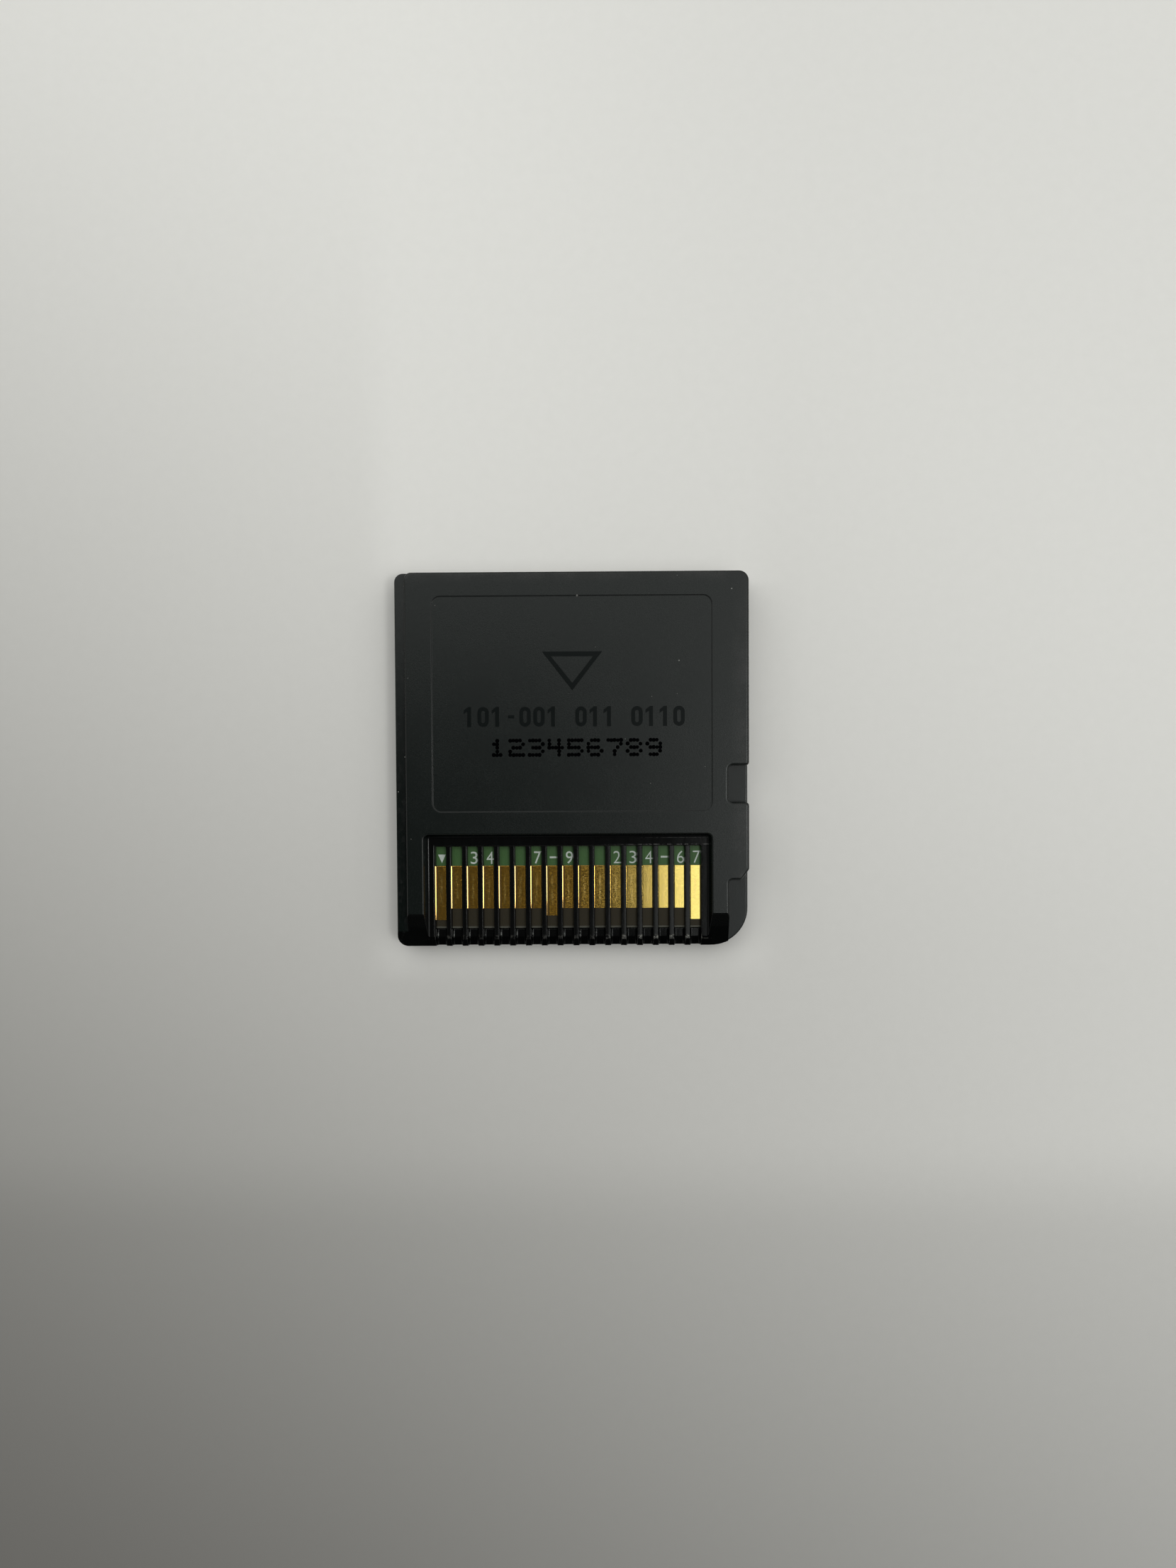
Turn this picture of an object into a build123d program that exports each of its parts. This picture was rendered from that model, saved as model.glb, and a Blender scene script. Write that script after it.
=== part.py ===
from build123d import *
import os
from math import atan, degrees

# A game card for a handheld console: two moulded shells around a small circuit board.
# It lies contact side up with its label face on z = 0. The contact edge faces -Y and
# the latch notch +X. All lengths are in millimetres.

# Contacts and the window over them
contact_count = 17
contact_pitch = 1.5
contact_thickness = 0.05
contact_clearance = 0.015
contact_far_end = 7.54
contact_near_end = 3.51
outer_contact_near_end = 2.43
marker_contact_near_end = 2.82
slot_width = 1.05
slot_foot_width = 0.9
slot_length = 9.43
slot_foot = 0.12
rib_edge = 0.05
rib_drop = 0.1
rib_step_slope = 45.0
side_ledge = 0.65
window_lean = 0.3
window_depth = 1.0
window_length = 10.64
window_corner = 0.5
window_rim = 0.12
window_foot = 0.15
window_wall = 0.95

# Outline of the card and the steps in its sides
card_length = 35.0
rail_width = 1.0
rail_drop = 0.75
left_shoulder = 1.6
right_shoulder = 1.6
corner_step_width = 1.85
corner_step_length = 6.25
corner_slope_width = 0.74
corner_slope_length = 1.0
lock_drop = 1.45
notch_from_edge = 13.5
notch_length = 3.45
notch_depth = 1.92
notch_inner_radius = 0.45
notch_outer_radius = 0.3
step_radius = 0.3
far_left_radius = 0.8
far_right_radius = 0.9
near_left_radius = 0.95
near_right_radius = 3.5
plateau_left_radius = 0.65
plateau_edge = 0.25
step_edge = 0.15
ramp_length = 3.2
ramp_drop = 1.4

# Shallow panels on the two faces
panel_left_margin = 2.5
panel_right_margin = 3.4
panel_far_margin = 2.2
panel_window_gap = 2.06
panel_depth = 0.08
panel_slope = 45.0
panel_corner = 0.85
label_margin = 1.6
label_near_margin = 4.2
label_depth = 0.1
label_corner = 1.5

# Walls, floor and roof of the shells, and the tongue that lines them up
side_wall = 1.0
front_floor = 0.6
face_edge = 0.35
parting_height = 1.2
seam_chamfer = 0.1
roof_thickness = 0.8
ledge_thickness = 0.6
lip_height = 0.3
lip_thickness = 0.45
lip_clearance = 0.05
sill_drop = 0.25
sill_bevel_length = 0.8
sill_bevel_drop = 0.2

# Circuit board, its rests and its locating pins
board_thickness = 0.6
board_setback = 1.62
board_clearance = 0.1
board_far_gap = 2.0
board_corner = 1.2
board_bevel = 0.2
rest_count = 6
rest_contacts = 3
rest_width = 0.8
pin_diameter = 1.2
pin_clearance = 0.05
pin_inset = 1.6
pin_tip_gap = 0.15
post_shoulder = 0.6
boss_wall = 0.65

# Chips and small components on the label side of the board
package_height = 0.8
package_standoff = 0.05
package_clearance = 0.15
package_draft = 7.0
dimple_radius = 0.3
dimple_depth = 0.05
dimple_inset = 0.8
lead_thickness = 0.12
lead_shoulder = 0.3
lead_foot = 0.5
rom_width = 10.0
rom_length = 12.0
rom_lead_count = 12
rom_lead_pitch = 0.8
rom_lead_width = 0.35
rom_left_inset = 9.4
rom_far_inset = 10.6
save_width = 4.4
save_length = 3.0
save_lead_count = 4
save_lead_pitch = 0.65
save_lead_width = 0.25
save_right_inset = 5.6
save_far_inset = 8.0
component_count = 3
component_length = 1.0
component_width = 0.5
component_cap = 0.25
component_cap_step = 0.02
component_pitch = 2.0
capacitor_height = 0.5
resistor_height = 0.35
capacitor_far_inset = 13.4
resistor_far_inset = 15.4

# How far cutting shapes run past the faces that they cut
overrun = 1.0

# Heights, from the label face up
board_underside = front_floor + package_clearance + package_height + package_standoff
board_face = board_underside + board_thickness
ledge_face = board_face + ledge_thickness
rib_face = ledge_face - rib_drop
card_thickness = ledge_face + window_depth
roof_underside = card_thickness - roof_thickness
rail_face = card_thickness - rail_drop
lock_face = card_thickness - lock_drop
sill_face = board_face - sill_drop
sill_edge = sill_face - sill_bevel_drop
package_middle = board_underside - package_standoff - package_height / 2
pin_tip = roof_underside - pin_tip_gap

# Places across the card
contact_span = (contact_count - 1) * contact_pitch
slots_width = contact_span + slot_width
window_width = slots_width + 2 * side_ledge + 2 * window_lean
card_width = rail_width + left_shoulder + window_width + right_shoulder + corner_step_width
card_left = -card_width / 2
card_right = card_width / 2
plateau_left = card_left + rail_width
window_left = plateau_left + left_shoulder
window_right = window_left + window_width
window_x = (window_left + window_right) / 2
corner_step_x = card_right - corner_step_width
notch_x = card_right - notch_depth
cavity_left = plateau_left + side_wall
cavity_right = card_right - side_wall
cavity_near_right = min(corner_step_x, notch_x) - side_wall
board_left = cavity_left + board_clearance
board_right = cavity_near_right - board_clearance
slot_draft = (slot_width - slot_foot_width) / 2 / (rib_face - rib_edge - board_face)
slot_sill_width = slot_foot_width - 2 * slot_draft * (board_face - sill_edge)
contact_width = slot_foot_width - 2 * contact_clearance
marker_contact = contact_count // 2
contact_xs = [window_x - contact_span / 2 + index * contact_pitch for index in range(contact_count)]

# Places along the card
near_edge = -card_length / 2
far_edge = card_length / 2
window_far = near_edge + window_length
slot_far = near_edge + slot_length
ramp_start = near_edge + ramp_length
corner_step_y = near_edge + corner_step_length
notch_near = near_edge + notch_from_edge
notch_far = notch_near + notch_length
board_near = near_edge + board_setback
cavity_near = board_near - board_clearance
cavity_far = far_edge - side_wall
cavity_jog = notch_far + side_wall
roof_near = window_far + window_wall
board_far = cavity_far - board_far_gap
pin_places = [
    (board_left + pin_inset, board_far - pin_inset),
    (board_right - pin_inset, board_far - pin_inset),
]
bore_radius = pin_diameter / 2 + pin_clearance


def corner(sketch, point):
    """The vertex of a sketch that is nearest to a point."""
    return sketch.vertices().sort_by_distance(point)[0]


def card_outline():
    """The whole card seen from above, with its four different corners."""
    with BuildSketch() as outline:
        Rectangle(card_width, card_length)
        fillet(corner(outline, (card_left, far_edge)), far_left_radius)
        fillet(corner(outline, (card_right, far_edge)), far_right_radius)
        fillet(corner(outline, (card_left, near_edge)), near_left_radius)
        fillet(corner(outline, (card_right, near_edge)), near_right_radius)
    return outline.sketch


whole_card = card_outline()


def plateau_outline():
    """The raised contact-side face: narrower at the rail, with the notch and the stepped corner."""
    slope_start = (card_right, corner_step_y + corner_slope_length)
    slope_end = (card_right - corner_slope_width, corner_step_y)
    with BuildSketch() as outline:
        with BuildLine():
            Polyline(
                (plateau_left, near_edge),
                (plateau_left, far_edge),
                (card_right, far_edge),
                (card_right, notch_far),
                (notch_x, notch_far),
                (notch_x, notch_near),
                (card_right, notch_near),
                slope_start,
                slope_end,
                (corner_step_x, corner_step_y),
                (corner_step_x, near_edge),
                close=True,
            )
        make_face()
        fillet(corner(outline, (plateau_left, far_edge)), plateau_left_radius)
        for notch_y in (notch_near, notch_far):
            fillet(corner(outline, (notch_x, notch_y)), notch_inner_radius)
            fillet(corner(outline, (card_right, notch_y)), notch_outer_radius)
        for point in (slope_start, slope_end, (corner_step_x, corner_step_y)):
            fillet(corner(outline, point), step_radius)
        add(whole_card, mode=Mode.INTERSECT)
    return outline.sketch


def rail_outline():
    """The strip of the card that holds the guide rail and reaches a wall's thickness under the plateau."""
    with BuildSketch() as outline:
        add(whole_card)
        with Locations((plateau_left + side_wall, 0)):
            Rectangle(card_width, card_length + overrun, align=(Align.MIN, Align.CENTER), mode=Mode.SUBTRACT)
    return outline.sketch


def shell_step(outline, top, edge_radius):
    """One level of the contact-side shell, from the parting plane up, with its top edges rounded."""
    with BuildPart() as step:
        with BuildSketch(Plane.XY.offset(parting_height)):
            add(outline)
        extrude(amount=top - parting_height)
        fillet(step.edges().group_by(Axis.Z)[-1], edge_radius)
    return step.part


def cavity_outline(near, margin=0):
    """The hollow of the shells from a given near end, drawn larger all round by a margin."""
    with BuildSketch() as outline:
        with BuildLine():
            Polyline(
                (cavity_left - margin, near - margin),
                (cavity_left - margin, cavity_far + margin),
                (cavity_right + margin, cavity_far + margin),
                (cavity_right + margin, cavity_jog - margin),
                (cavity_near_right + margin, cavity_jog - margin),
                (cavity_near_right + margin, near - margin),
                close=True,
            )
        make_face()
    return outline.sketch


# Cutting shape of the contact window, open at the contact edge, with leaning walls and rounded feet
with BuildPart() as window_cutter:
    with BuildSketch(Plane.XY.offset(card_thickness)) as window:
        with Locations((window_x, window_far)):
            Rectangle(window_width, window_length + overrun, align=(Align.CENTER, Align.MAX))
        fillet(window.vertices().group_by(Axis.Y)[-1], window_corner)
    extrude(amount=-window_depth, taper=degrees(atan(window_lean / window_depth)))
    fillet(window_cutter.edges().group_by(Axis.Z)[0], window_foot)

# Cutting shape of one contact slot, drafted, with the edges of the ribs beside it taken off
# and rounded feet on the sill
with BuildPart() as slot_cutter:
    with BuildSketch(Plane.XZ.offset(-slot_far)):
        with BuildLine():
            Polyline(
                (slot_sill_width / 2, sill_edge),
                (slot_width / 2, rib_face - rib_edge),
                (slot_width / 2 + rib_edge, rib_face),
                (slot_width / 2 + rib_edge, card_thickness + overrun),
                (-slot_width / 2 - rib_edge, card_thickness + overrun),
                (-slot_width / 2 - rib_edge, rib_face),
                (-slot_width / 2, rib_face - rib_edge),
                (-slot_sill_width / 2, sill_edge),
                close=True,
            )
        make_face()
    extrude(amount=slot_length + overrun)
    with BuildSketch(Plane.YZ):
        with BuildLine():
            Polyline(
                (slot_far, card_thickness + overrun),
                (slot_far, board_face),
                (cavity_near, board_face),
                (cavity_near, sill_face),
                (near_edge + sill_bevel_length, sill_face),
                (near_edge, sill_edge),
                (near_edge - overrun, sill_edge),
                (near_edge - overrun, card_thickness + overrun),
                close=True,
            )
        make_face()
    extrude(amount=contact_pitch, both=True, mode=Mode.INTERSECT)
    sill_edges = slot_cutter.edges().filter_by_position(Axis.Z, sill_edge, sill_face)
    fillet(sill_edges.filter_by(Axis.X, reverse=True), slot_foot)

# Levels of the contact-side shell: the low one in the latch notch and at the stepped corner,
# the guide rail along the left side and the raised face
low_step = shell_step(whole_card, lock_face, step_edge)
guide_rail = shell_step(rail_outline(), rail_face, step_edge)
raised_face = shell_step(plateau_outline(), card_thickness, plateau_edge)

# Hollows of the shells: the board's seat, the space over the chips, the tongue and its groove
board_seat = cavity_outline(cavity_near)
chip_space = cavity_outline(roof_near)
tongue_outside = cavity_outline(cavity_near, lip_thickness)
groove_outside = cavity_outline(cavity_near, lip_thickness + lip_clearance)

# Contact-side shell
with BuildPart() as back_shell:
    add(low_step)
    add(guide_rail)
    add(raised_face)
    chamfer(back_shell.edges().group_by(Axis.Z)[0], seam_chamfer)
    # Shallow panel in the raised face
    with BuildSketch(Plane.XY.offset(card_thickness)) as panel:
        with BuildLine():
            Polyline(
                (plateau_left + panel_left_margin, window_far + panel_window_gap),
                (plateau_left + panel_left_margin, far_edge - panel_far_margin),
                (card_right - panel_right_margin, far_edge - panel_far_margin),
                (card_right - panel_right_margin, window_far + panel_window_gap),
                close=True,
            )
        make_face()
        fillet(panel.vertices(), panel_corner)
    extrude(amount=-panel_depth, taper=panel_slope, mode=Mode.SUBTRACT)
    # Contact window with a rounded rim
    add(window_cutter.part, mode=Mode.SUBTRACT)
    rim = back_shell.edges().group_by(Axis.Z)[-1]
    rim = rim.filter_by_position(Axis.X, window_left - window_rim, window_right + window_rim)
    rim = rim.filter_by_position(Axis.Y, near_edge - overrun, window_far + window_rim)
    fillet(rim, window_rim)
    # Insertion ramp along the contact edge
    with BuildSketch(Plane.YZ.offset(card_left - overrun)):
        with BuildLine():
            Polyline(
                (ramp_start, card_thickness),
                (ramp_start, card_thickness + overrun),
                (near_edge - overrun, card_thickness + overrun),
                (near_edge - overrun, card_thickness - ramp_drop * (1 + overrun / ramp_length)),
                close=True,
            )
        make_face()
    extrude(amount=card_width + 2 * overrun, mode=Mode.SUBTRACT)
    # Ribs a little below the ledge, with a sloped step up to it
    with BuildSketch(Plane.XY.offset(ledge_face)):
        with Locations((window_x, slot_far + rib_drop)):
            Rectangle(slots_width + 2 * rib_drop, window_length, align=(Align.CENTER, Align.MAX))
    extrude(amount=-rib_drop, taper=rib_step_slope, mode=Mode.SUBTRACT)
    # Seat of the board, hollow over the chips and groove for the tongue
    with BuildSketch(Plane.XY.offset(parting_height)):
        add(board_seat)
    extrude(amount=board_face - parting_height, mode=Mode.SUBTRACT)
    with BuildSketch(Plane.XY.offset(board_face)):
        add(chip_space)
    extrude(amount=roof_underside - board_face, mode=Mode.SUBTRACT)
    with BuildSketch(Plane.XY.offset(parting_height)):
        add(groove_outside)
    extrude(amount=lip_height + lip_clearance, mode=Mode.SUBTRACT)
    # Contact slots
    with Locations(*[(x, 0) for x in contact_xs]):
        add(slot_cutter.part, mode=Mode.SUBTRACT)
    # Bosses that hold the board down around the locating pins
    with BuildSketch(Plane.XY.offset(board_face)):
        with Locations(*pin_places):
            Circle(bore_radius + boss_wall)
            Circle(bore_radius, mode=Mode.SUBTRACT)
    extrude(amount=roof_underside - board_face)
back_shell.part.label = "back_shell"

# Label-side shell
with BuildPart() as front_shell:
    with BuildSketch():
        add(whole_card)
    extrude(amount=parting_height)
    fillet(front_shell.edges().group_by(Axis.Z)[0], face_edge)
    chamfer(front_shell.edges().group_by(Axis.Z)[-1], seam_chamfer)
    # Bare label recess
    with BuildSketch() as label:
        with BuildLine():
            Polyline(
                (card_left + label_margin, near_edge + label_near_margin),
                (card_left + label_margin, far_edge - label_margin),
                (card_right - label_margin, far_edge - label_margin),
                (card_right - label_margin, near_edge + label_near_margin),
                close=True,
            )
        make_face()
        fillet(label.vertices(), label_corner)
    extrude(amount=label_depth, mode=Mode.SUBTRACT)
    # Tongue around the hollow
    with BuildSketch(Plane.XY.offset(front_floor)):
        add(tongue_outside)
    extrude(amount=parting_height + lip_height - front_floor)
    with BuildSketch(Plane.XY.offset(front_floor)):
        add(board_seat)
    extrude(amount=parting_height + lip_height - front_floor, mode=Mode.SUBTRACT)
    # Rests under the contacts
    with BuildSketch(Plane.XY.offset(front_floor)):
        with Locations((window_x, (cavity_near + slot_far) / 2)):
            with GridLocations(rest_contacts * contact_pitch, 0, rest_count, 1):
                Rectangle(rest_width, slot_far - cavity_near)
    extrude(amount=board_underside - front_floor)
    # Posts under the far corners of the board, with the locating pins
    with BuildSketch(Plane.XY.offset(front_floor)):
        with Locations(*pin_places):
            Circle(pin_diameter / 2 + post_shoulder)
    extrude(amount=board_underside - front_floor)
    with BuildSketch(Plane.XY.offset(board_underside)):
        with Locations(*pin_places):
            Circle(pin_diameter / 2)
    extrude(amount=pin_tip - board_underside)
front_shell.part.label = "front_shell"

# Circuit board
with BuildPart() as circuit_board:
    with BuildSketch(Plane.XY.offset(board_underside)) as board:
        with BuildLine():
            Polyline(
                (board_left, board_near),
                (board_left, board_far),
                (board_right, board_far),
                (board_right, board_near),
                close=True,
            )
        make_face()
        chamfer(board.vertices().group_by(Axis.Y)[-1], board_corner)
        with Locations(*pin_places):
            Circle(bore_radius, mode=Mode.SUBTRACT)
    extrude(amount=board_thickness)
    contact_edge = circuit_board.faces().sort_by(Axis.Y)[0]
    chamfer(contact_edge.edges().filter_by(Axis.X), board_bevel)
circuit_board.part.label = "circuit_board"


def edge_contact(index):
    """One gold contact on the board, counted from the left."""
    near_end = contact_near_end
    if index == marker_contact:
        near_end = marker_contact_near_end
    if index in (1, contact_count):
        near_end = outer_contact_near_end
    with BuildPart() as contact:
        with BuildSketch(Plane.XY.offset(board_face)):
            with Locations((contact_xs[index - 1], near_edge + near_end)):
                Rectangle(contact_width, contact_far_end - near_end, align=(Align.CENTER, Align.MIN))
        extrude(amount=contact_thickness)
    return contact.part


def chip_package(x, y, width, length):
    """A moulded chip under the board, widest at its middle, with a pin 1 dimple."""
    with BuildPart() as package:
        with BuildSketch(Plane.XY.offset(package_middle)):
            with Locations((x, y)):
                Rectangle(width, length)
        extrude(amount=package_height / 2, both=True, taper=package_draft)
        with BuildSketch(Plane.XY.offset(package_middle - package_height / 2)):
            with Locations((x - width / 2 + dimple_inset, y + length / 2 - dimple_inset)):
                Circle(dimple_radius)
        extrude(amount=dimple_depth, mode=Mode.SUBTRACT)
    return package.part


def chip_leads(x, y, body_width, count, pitch, width):
    """Two rows of bent leads, from the sides of a chip to their feet on the board."""
    root = body_width / 2
    bend = root + lead_shoulder
    toe = bend + lead_foot
    shoulder_top = package_middle + lead_thickness / 2
    shoulder_low = package_middle - lead_thickness / 2
    with BuildPart() as leads:
        for side in (-1, 1):
            for index in range(count):
                lead_y = y + (index - (count - 1) / 2) * pitch
                with BuildSketch(Plane((x, lead_y, 0), x_dir=(side, 0, 0), z_dir=(0, -side, 0))):
                    with BuildLine():
                        Polyline(
                            (root, shoulder_top),
                            (bend - lead_thickness, shoulder_top),
                            (bend - lead_thickness, board_underside),
                            (toe, board_underside),
                            (toe, board_underside - lead_thickness),
                            (bend, board_underside - lead_thickness),
                            (bend, shoulder_low),
                            (root, shoulder_low),
                            close=True,
                        )
                    make_face()
                extrude(amount=width / 2, both=True)
    return leads.part


def chip_component(x, y, height):
    """A small two-ended component under the board, with caps a little larger than its body."""
    with BuildPart() as component:
        with BuildSketch(Plane.XY.offset(board_underside)):
            with Locations((x, y)):
                Rectangle(component_length, component_width)
        extrude(amount=-height)
        with BuildSketch(Plane.XZ.offset(-y)):
            with Locations((x, board_underside - height)):
                Rectangle(component_length - 2 * component_cap, 2 * component_cap_step)
        extrude(amount=component_width, both=True, mode=Mode.SUBTRACT)
    return component.part


rom_x = board_left + rom_left_inset
rom_y = board_far - rom_far_inset
save_x = board_right - save_right_inset
save_y = board_far - save_far_inset
pieces = {
    "back_shell": back_shell.part,
    "front_shell": front_shell.part,
    "circuit_board": circuit_board.part,
    "rom_chip": chip_package(rom_x, rom_y, rom_width, rom_length),
    "rom_chip_leads": chip_leads(rom_x, rom_y, rom_width, rom_lead_count, rom_lead_pitch, rom_lead_width),
    "save_chip": chip_package(save_x, save_y, save_width, save_length),
    "save_chip_leads": chip_leads(
        save_x, save_y, save_width, save_lead_count, save_lead_pitch, save_lead_width
    ),
}
for number in range(1, contact_count + 1):
    pieces[f"contact_{number:02d}"] = edge_contact(number)
for number in range(1, component_count + 1):
    component_x = save_x + (number - (component_count + 1) / 2) * component_pitch
    pieces[f"capacitor_{number}"] = chip_component(component_x, board_far - capacitor_far_inset, capacitor_height)
    pieces[f"resistor_{number}"] = chip_component(component_x, board_far - resistor_far_inset, resistor_height)

os.makedirs("parts", exist_ok=True)
for name, piece in pieces.items():
    piece.label = name
    export_step(piece, f"parts/{name}.step")
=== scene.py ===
"""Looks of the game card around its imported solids: finishes, print, light and camera."""
import math
import bmesh
import bpy
from mathutils import Matrix, Vector


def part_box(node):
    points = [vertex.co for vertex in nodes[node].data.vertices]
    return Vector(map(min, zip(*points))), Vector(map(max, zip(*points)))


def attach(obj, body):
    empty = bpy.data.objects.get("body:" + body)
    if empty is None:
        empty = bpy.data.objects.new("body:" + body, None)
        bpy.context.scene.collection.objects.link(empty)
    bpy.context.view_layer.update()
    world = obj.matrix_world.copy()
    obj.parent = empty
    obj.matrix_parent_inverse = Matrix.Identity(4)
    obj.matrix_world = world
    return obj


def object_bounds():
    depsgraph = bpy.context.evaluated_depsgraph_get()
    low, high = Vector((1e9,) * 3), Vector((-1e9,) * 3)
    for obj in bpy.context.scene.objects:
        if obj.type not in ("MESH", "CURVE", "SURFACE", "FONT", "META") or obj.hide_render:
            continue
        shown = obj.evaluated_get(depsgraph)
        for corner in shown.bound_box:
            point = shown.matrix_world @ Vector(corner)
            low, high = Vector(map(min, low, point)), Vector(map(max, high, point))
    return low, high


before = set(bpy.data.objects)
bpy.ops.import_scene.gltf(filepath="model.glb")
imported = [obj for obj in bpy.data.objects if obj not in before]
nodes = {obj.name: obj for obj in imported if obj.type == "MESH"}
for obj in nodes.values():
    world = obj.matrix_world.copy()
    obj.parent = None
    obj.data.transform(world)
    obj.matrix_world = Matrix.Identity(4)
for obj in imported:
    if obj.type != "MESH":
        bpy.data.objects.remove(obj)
cad_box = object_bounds()
scene = bpy.context.scene

# Units and places on the card, in mm, as the solids have them
MM = 0.001
CARD_RIGHT = cad_box[1][0] / MM
CARD_FAR = cad_box[1][1] / MM
PANEL_FLOOR = 3.72
RAIL_LEVEL = 3.15
RAIL_EDGE = -15.2
RAMP_TOP = -14.1
WINDOW_LEFT = -13.9
WINDOW_RIGHT = 13.05
WINDOW_FAR = -6.86
WINDOW_LEVEL = 2.92
LEDGE_FOOT = -7.30
LEDGE_LIP = -7.93
BOARD_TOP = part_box("circuit_board")[1].z / MM
FIRST_CONTACT = (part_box("contact_01")[0].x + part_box("contact_01")[1].x) / 2 / MM
LAST_CONTACT = (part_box("contact_17")[0].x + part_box("contact_17")[1].x) / 2 / MM
CONTACT_COUNT = 17
CONTACT_PITCH = (LAST_CONTACT - FIRST_CONTACT) / (CONTACT_COUNT - 1)
CONTACT_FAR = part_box("contact_02")[1].y / MM
CONTACT_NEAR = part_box("contact_02")[0].y / MM
RIB_TOP = 2.7
RIB_TIP = -16.81
SLOT_FOOT_FAR = -16.25
SLOT_FOOT_NEAR = -16.70
TABLE_GAP = 0.02

# The plastic shines a little green and scuffs grey, a grey that also paints light on its steep walls, its
# thin ledge has sunk to the left, and its ribs are crowned
SHEEN = (0.97, 1.0, 0.97, 1.0)
LEDGE_LEAN = (-0.03, 0.0, 0.0)
RIB_CROWN = (0.10, 0.0, 0.0)
SCUFF_GREY_AND_WALL_LIGHT = (0.014, 0.0145, 0.014)


class Tone:
    """A socket of a material's nodes, used in plain sums."""

    def __init__(self, tree, socket=None):
        self.tree = tree
        self.socket = socket

    def node(self, kind, settings=None, sockets=None, output=0):
        """Adds any node: its settings first, then the values or links of its sockets."""
        made = self.tree.nodes.new(kind)
        for name, value in (settings or {}).items():
            setattr(made, name, value)
        for name, value in (sockets or {}).items():
            if isinstance(value, Tone):
                self.tree.links.new(value.socket, made.inputs[name])
            else:
                made.inputs[name].default_value = value
        return Tone(self.tree, made.outputs[output] if made.outputs else None)

    def other(self, output):
        """Another output of the same node."""
        return Tone(self.tree, self.socket.node.outputs[output])

    def maths(self, operation, *values):
        return self.node("ShaderNodeMath", {"operation": operation}, dict(enumerate(values)))

    def __add__(self, value):
        return self.maths("ADD", self, value)

    def __radd__(self, value):
        return self.maths("ADD", value, self)

    def __sub__(self, value):
        return self.maths("SUBTRACT", self, value)

    def __rsub__(self, value):
        return self.maths("SUBTRACT", value, self)

    def __mul__(self, value):
        return self.maths("MULTIPLY", self, value)

    def __truediv__(self, value):
        return self.maths("DIVIDE", self, value)

    def __abs__(self):
        return self.maths("ABSOLUTE", self)


# Shader words shared by the finishes

def start_finish(name):
    """A new material, and the first tone of its empty node tree."""
    material = bpy.data.materials.new(name)
    material.use_nodes = True
    material.node_tree.nodes.clear()
    return material, Tone(material.node_tree)


def surface_of(tone, sockets):
    """A surface shader, with what the finish gives to its sockets."""
    return tone.node("ShaderNodeBsdfPrincipled", sockets=sockets)


def close_finish(surface):
    """The surface shader goes to the material's output."""
    surface.node("ShaderNodeOutputMaterial", sockets={"Surface": surface})


def card_place(tone):
    """The point on the card in mm, as a vector."""
    metres = tone.node("ShaderNodeTexCoord", output="Object")
    return metres.node("ShaderNodeVectorMath", {"operation": "SCALE"}, {0: metres, "Scale": 1 / MM})


def axes(spot):
    """The x, y and z of a point."""
    x = spot.node("ShaderNodeSeparateXYZ", sockets={0: spot}, output="X")
    return x, x.other("Y"), x.other("Z")


def stretch(spot, x, y, z):
    """A point with its axes scaled, for streaks."""
    return spot.node("ShaderNodeVectorMath", {"operation": "MULTIPLY"}, {0: spot, 1: (x, y, z)})


def noise(spot, scale, detail=3.0, rough=0.55):
    """Soft clouds from 0 to 1, with so many to a mm."""
    sockets = {"Vector": spot, "Scale": scale, "Detail": detail, "Roughness": rough}
    return spot.node("ShaderNodeTexNoise", sockets=sockets)


def ease(value, start, end):
    """0 at start and before, 1 at end and after, smooth between."""
    sockets = {"Value": value, "From Min": start, "From Max": end}
    return value.node("ShaderNodeMapRange", {"interpolation_type": "SMOOTHSTEP"}, sockets)


def band(value, low, high, soft):
    """1 between two limits, with soft edges."""
    return ease(value, low - soft, low + soft) * ease(value, high + soft, high - soft)


def blend_colour(share, first, second):
    """From the first colour to the second, by a share."""
    def whole(colour):
        return colour if isinstance(colour, Tone) else (*colour, 1.0)
    sockets = {0: share, 6: whole(first), 7: whole(second)}
    return share.node("ShaderNodeMix", {"data_type": "RGBA"}, sockets, output=2)


def spot_mark(spot, centre, radius):
    """A small round mark around a point of the card, soft from half its radius."""
    ends = {0: spot, 1: centre}
    apart = spot.node("ShaderNodeVectorMath", {"operation": "DISTANCE"}, ends, output="Value")
    return ease(apart, radius, radius * 0.5)


def soft_edges(tone, radius):
    """The surface direction with its edges rounded a little, and how near an edge is."""
    rounded = tone.node("ShaderNodeBevel", {"samples": 6}, {"Radius": radius * MM})
    plain = tone.node("ShaderNodeNewGeometry", output="Normal")
    pair = {0: rounded, 1: plain}
    along = tone.node("ShaderNodeVectorMath", {"operation": "DOT_PRODUCT"}, pair, output="Value")
    return rounded, ease(along, 0.995, 0.90)


def lean(direction, share, tilt):
    """A surface direction that leans by a small vector where the share is 1."""
    slant = share.node("ShaderNodeVectorMath", {"operation": "SCALE"}, {0: tilt, "Scale": share})
    whole = share.node("ShaderNodeVectorMath", {"operation": "ADD"}, {0: direction, 1: slant})
    return share.node("ShaderNodeVectorMath", {"operation": "NORMALIZE"}, {0: whole})


def rough_surface(height, depth, normal=None):
    """The surface direction with a fine relief, so many mm deep."""
    sockets = {"Strength": 1.0, "Distance": depth * MM, "Height": height}
    if normal is not None:
        sockets["Normal"] = normal
    return height.node("ShaderNodeBump", sockets=sockets)


# Finishes of the card

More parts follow.
